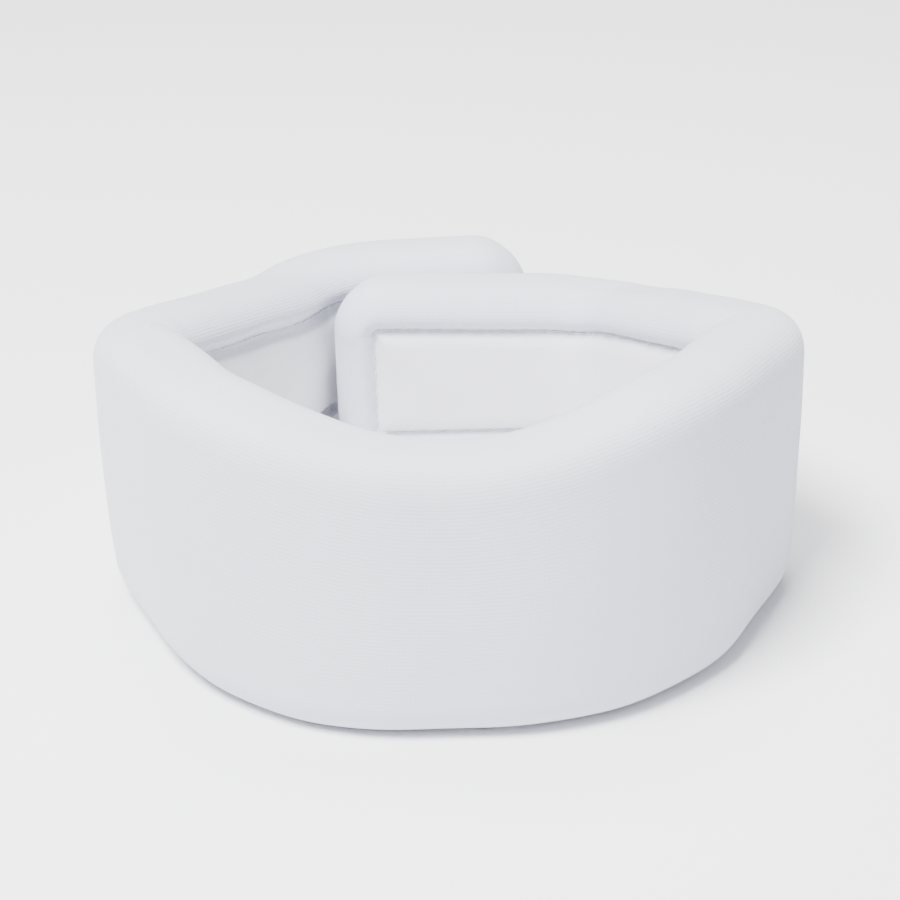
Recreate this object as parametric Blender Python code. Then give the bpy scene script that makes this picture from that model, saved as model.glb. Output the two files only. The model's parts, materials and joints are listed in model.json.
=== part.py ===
"""Soft cervical collar: a foam band in a knitted cover, closed in a ring round the neck.

Blender 4.5, metres, +Z up. The chin is towards -Y and the fastening at the back, +Y. The
sizes below are in millimetres. The band is described along its centre line: a distance s
from the outer end's tip, round the left side and the front to the inner end's tip; an
offset across the band, positive away from the neck; and a height z over the surface that
the collar stands on. The band is divided at its bends into four bodies: outer_end,
left_wing, front and right_wing. Each turns about an upright axis on the band's outer skin,
so opening it only parts the neck side.
"""

import math

import bmesh
import bpy
import numpy as np

MM = 0.001

# The band across
BAND_THICKNESS = 26.0  # foam with the knit on both sides
KNIT_THICKNESS = 0.7
CLEARANCE = 0.3  # between pieces that touch
FOAM_TIP_GAP = 0.7  # more room for the foam inside each end of the cover
EDGE_RADIUS = 11.5  # roll of the top and bottom edges
END_CORNER_RADIUS = 16.0  # corners of the two ends, seen from the side

# Heights of the top edge along the band
FRONT_HEIGHT = 72.0  # under the chin
CHEEK_HEIGHT = 80.0  # half way from the chin to the side bend
SIDE_HEIGHT = 75.0  # at the side bends
WING_HEIGHT = 64.5  # on the slope from the side bend down to the end
WAIST_HEIGHT = 54.5  # at the foot of that slope
END_HEIGHT = 56.0  # at the tips
WAIST_SHARE = 0.43  # of the way from the tip to the side bend
WING_SHARE = 0.72

# The centre line in plan: straight runs between rounded bends
SIDE_REACH = 80.0  # corner of each side bend, left and right of the middle
LEFT_SIDE_Y = 0.0
RIGHT_SIDE_Y = -4.0
FRONT_HALF_WIDTH = 46.5
FRONT_Y = -72.5
OUTER_END_Y = 106.0
OUTER_BEND_X = -41.0
OUTER_TIP_X = 21.0
INNER_BEND_X = 43.5
FRONT_BEND_RADIUS = 61.0  # of the centre line
INNER_BEND_NECK_RADIUS = 15.0  # of the neck side
SIDE_BEND_NECK_RADIUS = 3.3  # of the neck side

# The sewn crease on the neck side, which frames the lining
CREASE_INSET = 12.0  # from the edges and the tips
CREASE_CORNER_RADIUS = 6.0
SEAM_WIDTH = 1.0
SEAM_THICKNESS = 0.5

# The fastener: hooks inside the outer end, loops outside the inner end
STRIP_MARGIN = 3.0  # from the crease, above and below
STRIP_THICKNESS = 0.8
STRIP_CORNER_RADIUS = 3.0
STRIP_TIP_MARGIN = 15.0  # from the tip of the band's end
HOOK_STRIP_LENGTH = 32.0
LOOP_STRIP_LENGTH = 42.0
STITCH_MARGIN = 2.5  # from the strip's edge to its line of stitches
STITCH_WIDTH = 0.8
STITCH_THICKNESS = 0.3

# Facets
TIP_ANGLES = (20.0, 42.0, 64.0, 90.0)
ROUND_STEPS = 3  # in a quarter turn of a section's edge
BEND_STEP = 15.0  # degrees
RUN_STEP = 17.0  # mm along a straight run
CUT_MARGIN = 2.0  # how far a cutter runs past what it cuts, less than any neck side radius

HALF = BAND_THICKNESS / 2
FOAM_INSET = KNIT_THICKNESS + CLEARANCE
HALF_GAP = CLEARANCE / 2
# Between the outer end and the inner end: two strips, two lines of stitches, and the gaps
END_GAP = 2 * STRIP_THICKNESS + 2 * STITCH_THICKNESS + 5 * CLEARANCE
INNER_END_Y = OUTER_END_Y - BAND_THICKNESS - END_GAP

SIDE_BEND_RADIUS = HALF + SIDE_BEND_NECK_RADIUS
INNER_BEND_RADIUS = HALF + INNER_BEND_NECK_RADIUS
# The inner end's round tip lies in the outer bend, with the same gap all round it
OUTER_BEND_RADIUS = BAND_THICKNESS + END_GAP
OUTER_BEND_TURN = math.atan2(OUTER_END_Y - LEFT_SIDE_Y, SIDE_REACH + OUTER_BEND_X)
INNER_TIP_X = OUTER_BEND_X + OUTER_BEND_RADIUS * math.tan(OUTER_BEND_TURN / 2) - HALF

CORNERS = (
    (OUTER_TIP_X, OUTER_END_Y),
    (OUTER_BEND_X, OUTER_END_Y),
    (-SIDE_REACH, LEFT_SIDE_Y),
    (-FRONT_HALF_WIDTH, FRONT_Y),
    (FRONT_HALF_WIDTH, FRONT_Y),
    (SIDE_REACH, RIGHT_SIDE_Y),
    (INNER_BEND_X, INNER_END_Y),
    (INNER_TIP_X, INNER_END_Y),
)
BEND_RADII = (
    OUTER_BEND_RADIUS,
    SIDE_BEND_RADIUS,
    FRONT_BEND_RADIUS,
    FRONT_BEND_RADIUS,
    SIDE_BEND_RADIUS,
    INNER_BEND_RADIUS,
)

# name: base colour, roughness
FINISHES = {
    "knit": ((0.86, 0.87, 0.90), 0.90),
    "lining": ((0.88, 0.89, 0.91), 0.90),
    "foam": ((0.88, 0.84, 0.68), 0.95),
    "thread": ((0.90, 0.90, 0.91), 0.75),
    "hook": ((0.82, 0.82, 0.82), 0.60),
    "loop": ((0.87, 0.87, 0.87), 0.95),
}


# ---- The centre line -------------------------------------------------------------------


def plan_runs(corners, radii):
    """The centre line as runs: start distance, length, start point, heading, curvature."""
    points = [np.array(corner) for corner in corners]
    headings = [
        math.atan2(*(after - before)[::-1]) for before, after in zip(points, points[1:])
    ]
    runs = []
    here, distance = points[0], 0.0
    for corner, radius, heading, onward in zip(points[1:-1], radii, headings, headings[1:]):
        turn = (onward - heading) % (2 * math.pi)
        setback = radius * math.tan(turn / 2)
        straight = np.linalg.norm(corner - here) - setback
        runs.append((distance, straight, here, heading, 0.0))
        along = np.array((math.cos(heading), math.sin(heading)))
        runs.append((distance + straight, radius * turn, corner - setback * along, heading, 1 / radius))
        distance += straight + radius * turn
        here = corner + setback * np.array((math.cos(onward), math.sin(onward)))
    runs.append((distance, np.linalg.norm(points[-1] - here), here, headings[-1], 0.0))
    return runs


RUNS = plan_runs(CORNERS, BEND_RADII)
LENGTH = RUNS[-1][0] + RUNS[-1][1]


def along_centre(s):
    """Point and heading of the centre line at distance s."""
    start, _, point, heading, curvature = [run for run in RUNS if run[0] <= s or run is RUNS[0]][-1]
    u = s - start
    if curvature == 0.0:
        return point + u * np.array((math.cos(heading), math.sin(heading))), heading
    turned = heading + curvature * u
    step = np.array((math.sin(turned) - math.sin(heading), math.cos(heading) - math.cos(turned)))
    return point + step / curvature, turned


def plan_point(s, offset):
    """Point in plan at distance s along the band and an offset away from the neck."""
    point, heading = along_centre(s)
    return point + offset * np.array((math.sin(heading), -math.cos(heading)))


def middle_of_bend(number):
    """Distance at the middle of a bend, counted from 0 at the outer end."""
    start, length, *_ = RUNS[2 * number + 1]
    return start + length / 2


BACK_SPLIT = middle_of_bend(0)
LEFT_SPLIT = middle_of_bend(1)
RIGHT_SPLIT = middle_of_bend(4)
FRONT_MIDDLE = (RUNS[6][0] + RUNS[6][0] + RUNS[6][1]) / 2

HOOK_SPAN = (STRIP_TIP_MARGIN, STRIP_TIP_MARGIN + HOOK_STRIP_LENGTH)
LOOP_SPAN = (LENGTH - STRIP_TIP_MARGIN - LOOP_STRIP_LENGTH, LENGTH - STRIP_TIP_MARGIN)

SKIN = np.array([plan_point(s, HALF) for s in np.linspace(0.0, LENGTH, 600)])
CENTRE = (SKIN.min(axis=0) + SKIN.max(axis=0)) / 2  # of the collar in plan


# ---- Heights ---------------------------------------------------------------------------


def eased(x, xs, ys):
    """Smooth curve through points, level at each high and low of theirs."""
    xs, ys = np.array(xs), np.array(ys)
    slopes = np.diff(ys) / np.diff(xs)
    same_way = np.maximum(slopes[:-1] * slopes[1:], 0.0)
    inner = 2 * same_way / np.where(same_way > 0, slopes[:-1] + slopes[1:], 1.0)
    tangents = np.concatenate(([0.0], inner, [0.0]))
    i = min(max(int(np.searchsorted(xs, x)) - 1, 0), len(slopes) - 1)
    width = xs[i + 1] - xs[i]
    t = min(max((x - xs[i]) / width, 0.0), 1.0)
    rise = ys[i] + (ys[i + 1] - ys[i]) * t * t * (3 - 2 * t)
    bend = width * t * (1 - t) * ((1 - t) * tangents[i] - t * tangents[i + 1])
    return rise + bend


HEIGHT_PLACES = (
    0.0,
    LEFT_SPLIT * WAIST_SHARE,
    LEFT_SPLIT * WING_SHARE,
    LEFT_SPLIT,
    (LEFT_SPLIT + FRONT_MIDDLE) / 2,
    FRONT_MIDDLE,
    (FRONT_MIDDLE + RIGHT_SPLIT) / 2,
    RIGHT_SPLIT,
    LENGTH - (LENGTH - RIGHT_SPLIT) * WING_SHARE,
    LENGTH - (LENGTH - RIGHT_SPLIT) * WAIST_SHARE,
    LENGTH,
)
HEIGHTS = (
    END_HEIGHT,
    WAIST_HEIGHT,
    WING_HEIGHT,
    SIDE_HEIGHT,
    CHEEK_HEIGHT,
    FRONT_HEIGHT,
    CHEEK_HEIGHT,
    SIDE_HEIGHT,
    WING_HEIGHT,
    WAIST_HEIGHT,
    END_HEIGHT,
)


def top_height(s):
    """Height of the top edge at distance s."""
    return eased(s, HEIGHT_PLACES, HEIGHTS)


def rounding(distance, radius):
    """How far a rounded corner stands back, at a distance from the end it rounds."""
    if distance >= radius:
        return 0.0
    return radius - math.sqrt(max(radius**2 - (radius - distance) ** 2, 0.0))


# ---- Stations along the band -----------------------------------------------------------


def stations(start, end):
    """Distances from start to end: even steps on each run, closer on the bends."""
    breaks = [start] + [run[0] for run in RUNS[1:] if start < run[0] < end] + [end]
    found = [start]
    for low, high in zip(breaks, breaks[1:]):
        curvature = [run for run in RUNS if run[0] <= (low + high) / 2 or run is RUNS[0]][-1][4]
        turn = math.degrees((high - low) * curvature)
        count = max(math.ceil(turn / BEND_STEP), math.ceil((high - low) / RUN_STEP))
        found.extend(np.linspace(low, high, count + 1)[1:])
    return found


def stations_with_ends(start, end, start_steps, end_steps):
    """Stations with a rounded end's own closer steps, given as distances from that end."""
    first = start + max(start_steps, default=0.0)
    last = end - max(end_steps, default=0.0)
    before = [start + step for step in sorted(start_steps)[:-1]]
    after = [end - step for step in sorted(end_steps, reverse=True)[1:]]
    return before + stations(first, last) + after


def tip_steps(inset, tip_inset):
    """Steps from a tip, for its half round and the corners over and under it."""
    half = HALF - inset
    steps = [half * (1 - math.cos(math.radians(angle))) for angle in TIP_ANGLES]
    return steps + [max(END_CORNER_RADIUS, HALF) - tip_inset + FOAM_TIP_GAP + CLEARANCE]


def corner_steps(radius):
    """Steps from a patch's end, for its rounded corners."""
    return [radius * (1 - math.cos(math.radians(angle))) for angle in (0.0, 30.0, 60.0, 90.0)]


# ---- Building solids -------------------------------------------------------------------


def build_object(name, points, faces, pivot, finish):
    """Object of one closed mesh, its origin on the body's axis."""
    bm = bmesh.new()
    verts = [bm.verts.new(((x - pivot[0]) * MM, (y - pivot[1]) * MM, z * MM)) for x, y, z in points]
    for face in faces:
        bm.faces.new([verts[i] for i in face])
    bmesh.ops.recalc_face_normals(bm, faces=bm.faces[:])
    mesh = bpy.data.meshes.new(name)
    bm.to_mesh(mesh)
    bm.free()
    mesh.shade_smooth()
    mesh.set_sharp_from_angle(angle=math.radians(50.0))
    obj = bpy.data.objects.new(name, mesh)
    bpy.context.scene.collection.objects.link(obj)
    if finish:
        mesh.materials.append(MATERIALS[finish])
    return obj


def loft_faces(count, size, closed):
    """Faces of a row of outlines: the sides, and a face on each end unless it is closed."""
    faces = []
    for ring in range(count if closed else count - 1):
        here, onward = ring * size, (ring + 1) % count * size
        for i in range(size):
            j = (i + 1) % size
            faces.append((here + i, here + j, onward + j, onward + i))
    if not closed:
        faces.append(range(size))
        faces.append(range((count - 1) * size, count * size))
    return faces


def to_world(s, outline):
    """Points of an outline of offsets and heights at distance s."""
    points = []
    for offset, z in outline:
        x, y = plan_point(s, offset) - CENTRE
        points.append((x, y, z))
    return points


def loft(name, distances, outline_at, pivot, finish):
    """Solid through the outlines at a row of distances."""
    outlines = [to_world(s, outline_at(s)) for s in distances]
    points = [point for outline in outlines for point in outline]
    return build_object(name, points, loft_faces(len(outlines), len(outlines[0]), False), pivot, finish)


def band_outline(s, inset, tip_inset):
    """Outline across the whole band at distance s, drawn in by inset, and from the tips."""
    from_tip = min(s, LENGTH - s) - tip_inset
    half = HALF - inset
    back = rounding(from_tip, END_CORNER_RADIUS - inset)
    width = half if from_tip >= half else math.sqrt(max(half**2 - (half - from_tip) ** 2, 0.0))
    low, high = inset + back, top_height(s) - inset - back
    tall = EDGE_RADIUS - inset
    wide = min(tall, width)
    outline = []
    for quarter, (side, level) in enumerate(((1, high), (-1, high), (-1, low), (1, low))):
        centre_x = side * (width - wide)
        centre_z = level - tall if level == high else level + tall
        for step in range(ROUND_STEPS + 1):
            angle = math.pi / 2 * (quarter + step / ROUND_STEPS)
            outline.append((centre_x + wide * math.cos(angle), centre_z + tall * math.sin(angle)))
    return outline


def band_solid(name, start, end, inset, tip_inset, pivot, finish):
    """Length of the band, drawn in by inset. Its end at a tip is a half round."""
    start_steps = tip_steps(inset, tip_inset) if start == 0.0 else []
    end_steps = tip_steps(inset, tip_inset) if end == LENGTH else []
    low = start + tip_inset if start_steps else start
    high = end - tip_inset if end_steps else end
    distances = stations_with_ends(low, high, start_steps, end_steps)
    return loft(name, distances, lambda s: band_outline(s, inset, tip_inset), pivot, finish)


def lining_patch(name, start, end, inset, near, far, pivot, finish):
    """Solid over the field inside the crease, drawn in by inset, from offset near to far."""
    margin = CREASE_INSET + inset
    radius = CREASE_CORNER_RADIUS - inset
    low = margin if start == 0.0 else start
    high = LENGTH - margin if end == LENGTH else end

    def outline_at(s):
        back = rounding(min(s, LENGTH - s) - margin, radius)
        bottom, top = margin + back, top_height(s) - margin - back
        return ((near, bottom), (far, bottom), (far, top), (near, top))

    distances = stations_with_ends(
        low,
        high,
        corner_steps(radius) if start == 0.0 else [],
        corner_steps(radius) if end == LENGTH else [],
    )
    return loft(name, distances, outline_at, pivot, finish)


def strip_levels():
    """Bottom and top of both fastener strips, inside the crease all along them."""
    lowest_top = min(top_height(s) for span in (HOOK_SPAN, LOOP_SPAN) for s in stations(*span))
    margin = CREASE_INSET + STRIP_MARGIN
    return margin, lowest_top - margin


def strip_patch(name, start, end, near, pivot, finish):
    """Fastener strip with rounded corners on one face of the band."""
    far = near + STRIP_THICKNESS
    bottom, top = strip_levels()

    def outline_at(s):
        back = rounding(min(s - start, end - s), STRIP_CORNER_RADIUS)
        return ((near, bottom + back), (far, bottom + back), (far, top - back), (near, top - back))

    steps = corner_steps(STRIP_CORNER_RADIUS)
    return loft(name, stations_with_ends(start, end, steps, steps), outline_at, pivot, finish)


def thread(name, path, width, near, thickness, closed, pivot):
    """Flat line of thread along a path of distances and heights, on a face of the band."""
    path = np.array(path)
    before = np.roll(path, 1, axis=0) if closed else np.vstack((path[:1], path[:-1]))
    after = np.roll(path, -1, axis=0) if closed else np.vstack((path[1:], path[-1:]))
    along = after - before
    along /= np.linalg.norm(along, axis=1)[:, None]
    aside = np.stack((-along[:, 1], along[:, 0]), axis=1) * width / 2
    points = []
    for (s, z), (ds, dz) in zip(path, aside):
        for side, offset in ((-1, near), (1, near), (1, near + thickness), (-1, near + thickness)):
            points.extend(to_world(s + side * ds, ((offset, z + side * dz),)))
    return build_object(name, points, loft_faces(len(path), 4, closed), pivot, "thread")


def quarter_turn(centre, radius, start_angle, turn):
    """Points of a quarter circle of distances and heights."""
    angles = np.radians(start_angle + np.linspace(0.0, turn, 5))
    return [(centre[0] + radius * math.cos(a), centre[1] + radius * math.sin(a)) for a in angles]


def crease_ends(tip, inward, start, end):
    """Path of the crease round one end: out along the top, down the tip, back below."""
    radius = CREASE_CORNER_RADIUS
    edge = tip + inward * CREASE_INSET
    turn_s = edge + inward * radius
    top = top_height(turn_s) - CREASE_INSET
    along_top = [s for s in stations(start, end) if (s - turn_s) * inward > radius / 2]
    along_top.sort(key=lambda s: -s * inward)
    upper = quarter_turn((turn_s, top - radius), radius, 90.0, 90.0 * inward)
    lower = quarter_turn((turn_s, CREASE_INSET + radius), radius, 90.0 + 90.0 * inward, 90.0 * inward)
    out = [(s, top_height(s) - CREASE_INSET) for s in along_top]
    back = [(s, CREASE_INSET) for s in reversed(along_top)]
    return out + upper + lower + back


def stitch_ring(start, end):
    """Closed path of a strip's stitches."""
    radius = STRIP_CORNER_RADIUS - STITCH_MARGIN / 2
    low, high = start + STITCH_MARGIN + radius, end - STITCH_MARGIN - radius
    strip_bottom, strip_top = strip_levels()
    bottom, top = strip_bottom + STITCH_MARGIN + radius, strip_top - STITCH_MARGIN - radius
    between = stations(low, high)[1:-1]
    path = quarter_turn((high, top), radius, 0.0, 90.0)
    path += [(s, top + radius) for s in reversed(between)]
    path += quarter_turn((low, top), radius, 90.0, 90.0)
    path += quarter_turn((low, bottom), radius, 180.0, 90.0)
    path += [(s, bottom - radius) for s in between]
    path += quarter_turn((high, bottom), radius, 270.0, 90.0)
    return path


# ---- The collar's pieces ---------------------------------------------------------------


def cut(target, cutter):
    """Takes the cutter's shape out of the target, and hides the cutter."""
    cutter.hide_render = True
    cutter.display_type = "WIRE"
    modifier = target.modifiers.new("cut_" + cutter.name, "BOOLEAN")
    modifier.operation = "DIFFERENCE"
    modifier.object = cutter


def foam_and_cover(body, start, end, pivot):
    """Foam core, the knitted cover round it with its opening, and the lining in that."""
    foam_tip_inset = FOAM_INSET + FOAM_TIP_GAP
    foam = band_solid("foam_" + body, start, end, FOAM_INSET, foam_tip_inset, pivot, "foam")
    cover = band_solid("cover_" + body, start, end, 0.0, 0.0, pivot, "knit")
    cut_start = start if start == 0.0 else start - CUT_MARGIN
    cut_end = end if end == LENGTH else end + CUT_MARGIN
    wall = KNIT_THICKNESS
    hollow = band_solid("hollow_" + body, cut_start, cut_end, wall, wall, pivot, None)
    window = lining_patch(
        "window_" + body,
        cut_start,
        cut_end,
        0.0,
        -HALF - CUT_MARGIN,
        -HALF + KNIT_THICKNESS + HALF_GAP,
        pivot,
        None,
    )
    cut(cover, hollow)
    cut(cover, window)
    lining = lining_patch(
        "lining_" + body, start, end, CLEARANCE, -HALF, -HALF + KNIT_THICKNESS, pivot, "lining"
    )
    return [foam, cover, hollow, window, lining]


def open_seams(body, start, end, pivot):
    """Seam threads along the top and bottom creases of a body between two bends."""
    near = -HALF - CLEARANCE - SEAM_THICKNESS
    distances = stations(start, end)
    top = [(s, top_height(s) - CREASE_INSET) for s in distances]
    bottom = [(s, CREASE_INSET) for s in distances]
    return [
        thread("seam_top_" + body, top, SEAM_WIDTH, near, SEAM_THICKNESS, False, pivot),
        thread("seam_bottom_" + body, bottom, SEAM_WIDTH, near, SEAM_THICKNESS, False, pivot),
    ]


def end_seam(body, tip, start, end, pivot):
    """Seam thread of a body with a tip, in one line round its end."""
    near = -HALF - CLEARANCE - SEAM_THICKNESS
    path = crease_ends(tip, 1 if tip == 0.0 else -1, start, end)
    return [thread("seam_" + body, path, SEAM_WIDTH, near, SEAM_THICKNESS, False, pivot)]


def fastener_half(kind, start, end, side, pivot):
    """Strip of hooks or loops with its stitches, on the neck side (-1) or outside (1)."""
    strip_near = side * (HALF + CLEARANCE) + min(side, 0) * STRIP_THICKNESS
    stitch_face = HALF + 2 * CLEARANCE + STRIP_THICKNESS
    stitch_near = side * stitch_face + min(side, 0) * STITCH_THICKNESS
    ring = stitch_ring(start, end)
    return [
        strip_patch(kind + "_strip", start, end, strip_near, pivot, kind),
        thread(kind + "_stitching", ring, STITCH_WIDTH, stitch_near, STITCH_THICKNESS, True, pivot),
    ]


def make_material(name, colour, roughness):
    """Plain Principled material."""
    material = bpy.data.materials.new(name)
    material.use_nodes = True
    shader = material.node_tree.nodes["Principled BSDF"]
    shader.inputs["Base Color"].default_value = (*colour, 1.0)
    shader.inputs["Roughness"].default_value = roughness
    shader.inputs["Metallic"].default_value = 0.0
    material.diffuse_color = (*colour, 1.0)
    return material


def joint_empty(name, pivot, parent, parent_pivot):
    """Empty on a joint's axis, parented to the body that carries it."""
    empty = bpy.data.objects.new(name, None)
    bpy.context.scene.collection.objects.link(empty)
    x, y = (pivot - parent_pivot) * MM
    empty.location = (x, y, 0.0)
    empty.parent = parent
    return empty


def hinge_point(split):
    """Where the upright axis of a bend stands: on the band's outer skin."""
    return plan_point(split, HALF) - CENTRE


for old in list(bpy.data.objects):
    bpy.data.objects.remove(old, do_unlink=True)

MATERIALS = {name: make_material(name, *finish) for name, finish in FINISHES.items()}

ORIGIN = np.zeros(2)
PIVOTS = {
    "front": ORIGIN,
    "left_wing": hinge_point(LEFT_SPLIT),
    "outer_end": hinge_point(BACK_SPLIT),
    "right_wing": hinge_point(RIGHT_SPLIT),
}
PARENTS = {"left_wing": "front", "outer_end": "left_wing", "right_wing": "front"}
SPANS = {
    "front": (LEFT_SPLIT + HALF_GAP, RIGHT_SPLIT - HALF_GAP),
    "left_wing": (BACK_SPLIT + HALF_GAP, LEFT_SPLIT - HALF_GAP),
    "outer_end": (0.0, BACK_SPLIT - HALF_GAP),
    "right_wing": (RIGHT_SPLIT + HALF_GAP, LENGTH),
}

EMPTIES = {}
for body, pivot in PIVOTS.items():
    parent = PARENTS.get(body)
    parent_pivot = PIVOTS[parent] if parent else ORIGIN
    EMPTIES[body] = joint_empty("axis_" + body, pivot, EMPTIES.get(parent), parent_pivot)

for body, (start, end) in SPANS.items():
    pivot = PIVOTS[body]
    pieces = foam_and_cover(body, start, end, pivot)
    if body == "outer_end":
        pieces += end_seam(body, 0.0, start, end, pivot)
        pieces += fastener_half("hook", *HOOK_SPAN, -1, pivot)
    elif body == "right_wing":
        pieces += end_seam(body, LENGTH, start, end, pivot)
        pieces += fastener_half("loop", *LOOP_SPAN, 1, pivot)
    else:
        pieces += open_seams(body, start, end, pivot)
    for piece in pieces:
        piece.parent = EMPTIES[body]
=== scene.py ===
"""Looks of a soft cervical collar: a foam band in a knitted cotton cover, closed in a ring.

Metres, +Z up, the chin towards -Y. Every soft surface is worked out on the band's own
coordinates: s, the distance along the centre line from the outer end's tip, and a level on
the outline across the band. The band is dressed in three stretches, each of which crosses
one joint of the frame: outer, left and right.
"""

from __future__ import annotations

import json
import logging
import math
from dataclasses import dataclass, field
from enum import Enum

import bpy
import numpy as np
from mathutils import Matrix, Vector

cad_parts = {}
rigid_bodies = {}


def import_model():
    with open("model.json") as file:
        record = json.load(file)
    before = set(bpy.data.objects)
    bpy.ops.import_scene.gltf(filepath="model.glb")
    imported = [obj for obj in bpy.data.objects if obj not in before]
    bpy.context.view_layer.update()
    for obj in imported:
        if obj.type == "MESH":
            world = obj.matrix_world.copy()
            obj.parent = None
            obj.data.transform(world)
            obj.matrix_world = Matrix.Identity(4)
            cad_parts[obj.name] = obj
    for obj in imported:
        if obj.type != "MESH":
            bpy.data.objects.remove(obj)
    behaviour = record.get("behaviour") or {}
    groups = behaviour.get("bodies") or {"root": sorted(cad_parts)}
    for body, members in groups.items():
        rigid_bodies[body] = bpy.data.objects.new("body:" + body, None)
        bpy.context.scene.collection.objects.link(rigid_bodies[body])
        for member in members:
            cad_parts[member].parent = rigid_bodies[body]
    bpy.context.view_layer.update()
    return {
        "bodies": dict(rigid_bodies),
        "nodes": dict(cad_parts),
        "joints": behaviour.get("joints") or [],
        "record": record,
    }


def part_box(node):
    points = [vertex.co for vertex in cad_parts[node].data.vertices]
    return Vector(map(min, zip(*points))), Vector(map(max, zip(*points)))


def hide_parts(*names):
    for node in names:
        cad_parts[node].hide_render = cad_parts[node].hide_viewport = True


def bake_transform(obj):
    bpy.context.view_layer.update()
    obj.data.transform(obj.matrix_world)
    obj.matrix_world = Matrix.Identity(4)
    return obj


LOG = logging.getLogger("collar")
Array = np.ndarray
Socket = bpy.types.NodeSocket
Node = bpy.types.Node
Colour = tuple[float, float, float, float]
MM = 0.001
SHARP_ANGLE = math.radians(50.0)  # edges over this aren't shaded smooth
HAIR = 1e-9  # less than any two rows stand apart


def smoothstep(value: Array) -> Array:
    """Zero below 0, one above 1, and level at both.

    Args:
        value: Any array.

    Returns:
        The eased array.
    """
    t = np.clip(value, 0.0, 1.0)
    return t * t * (3.0 - 2.0 * t)


# --- Meshes ---


@dataclass
class Patch:
    """A quad surface: points, faces, and the map coordinates of each face's corners."""

    points: Array
    faces: Array
    corner_uv: Array

    @staticmethod
    def joined(patches: list[Patch]) -> Patch:
        """Several patches as one."""
        starts = np.cumsum([0] + [len(patch.points) for patch in patches])
        return Patch(
            np.concatenate([patch.points for patch in patches]),
            np.concatenate([patch.faces + start for patch, start in zip(patches, starts)]),
            np.concatenate([patch.corner_uv for patch in patches]),
        )

    def used_only(self) -> Patch:
        """The same patch without the points that no face uses."""
        used, index = np.unique(self.faces, return_inverse=True)
        return Patch(self.points[used], index.reshape(self.faces.shape), self.corner_uv)

    def point_normals(self) -> Array:
        """Each point's normal: its faces' normals, summed by area and brought to length one."""
        corners = self.points[self.faces]
        face_normals = np.cross(corners[:, 2] - corners[:, 0], corners[:, 3] - corners[:, 1])
        normals = np.zeros_like(self.points)
        for corner in range(4):
            np.add.at(normals, self.faces[:, corner], face_normals)
        return normals / np.maximum(np.linalg.norm(normals, axis=1, keepdims=True), 1e-12)

    def shell(self, thickness: float) -> Patch:
        """The surface given a thickness on its inside: both walls, and a rim at open edges.

        Args:
            thickness: Distance from the outer wall to the inner one.

        Returns:
            A closed patch.
        """
        patch = self.used_only()
        count = len(patch.points)
        inner = patch.points - patch.point_normals() * thickness
        edges = np.concatenate([np.roll(patch.faces, -i, axis=1)[:, :2] for i in range(4)])
        edge_uv = np.concatenate([np.roll(patch.corner_uv, -i, axis=1)[:, :2] for i in range(4)])
        proper = edges[:, 0] != edges[:, 1]
        edges, edge_uv = edges[proper], edge_uv[proper]
        _, index, uses = np.unique(
            np.sort(edges, axis=1), axis=0, return_inverse=True, return_counts=True
        )
        border = uses[index.reshape(-1)] == 1
        a, b = edges[border].T
        rim = np.stack([b, a, a + count, b + count], axis=1)
        rim_uv = edge_uv[border][:, [1, 0, 0, 1]]
        return Patch(
            np.concatenate([patch.points, inner]),
            np.concatenate([patch.faces, patch.faces[:, ::-1] + count, rim]),
            np.concatenate([patch.corner_uv, patch.corner_uv[:, ::-1], rim_uv]),
        )


def make_object(name: str, patch: Patch, material: bpy.types.Material) -> bpy.types.Object:
    """Puts a patch into a mesh object at the origin, with its map and material.

    Args:
        name: The piece's name.
        patch: Its surface. A face with two corners on one point becomes a triangle.
        material: Its finish.

    Returns:
        The new object.
    """
    patch = patch.used_only()
    proper = patch.faces != np.roll(patch.faces, -1, axis=1)
    kept = proper.sum(axis=1) >= 3
    faces, uv, proper = patch.faces[kept], patch.corner_uv[kept], proper[kept]
    mesh = bpy.data.meshes.new(name)
    sizes = proper.sum(axis=1)
    starts = np.concatenate([[0], np.cumsum(sizes)[:-1]])
    mesh.vertices.add(len(patch.points))
    mesh.vertices.foreach_set("co", patch.points.astype(np.float32).ravel())
    mesh.loops.add(int(sizes.sum()))
    mesh.loops.foreach_set("vertex_index", faces[proper].astype(np.int32))
    mesh.polygons.add(len(faces))
    mesh.polygons.foreach_set("loop_start", starts.astype(np.int32))
    mesh.update(calc_edges=True)
    band_map = mesh.uv_layers.new(name="band_map")
    band_map.data.foreach_set("uv", uv[proper].astype(np.float32).ravel())
    mesh.validate()
    mesh.shade_smooth()
    mesh.set_sharp_from_angle(angle=SHARP_ANGLE)
    mesh.materials.append(material)
    piece = bpy.data.objects.new(name, mesh)
    bpy.context.scene.collection.objects.link(piece)
    LOG.info("%s: %d points, %d faces", name, len(mesh.vertices), len(mesh.polygons))
    return piece


def grid_faces(rows: int, columns: int) -> Array:
    """Corner numbers of the quads of a grid of points, row by row."""
    corner = (np.arange(rows - 1)[:, None] * columns + np.arange(columns - 1)[None, :]).ravel()
    return np.stack([corner, corner + 1, corner + columns + 1, corner + columns], axis=1)


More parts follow.
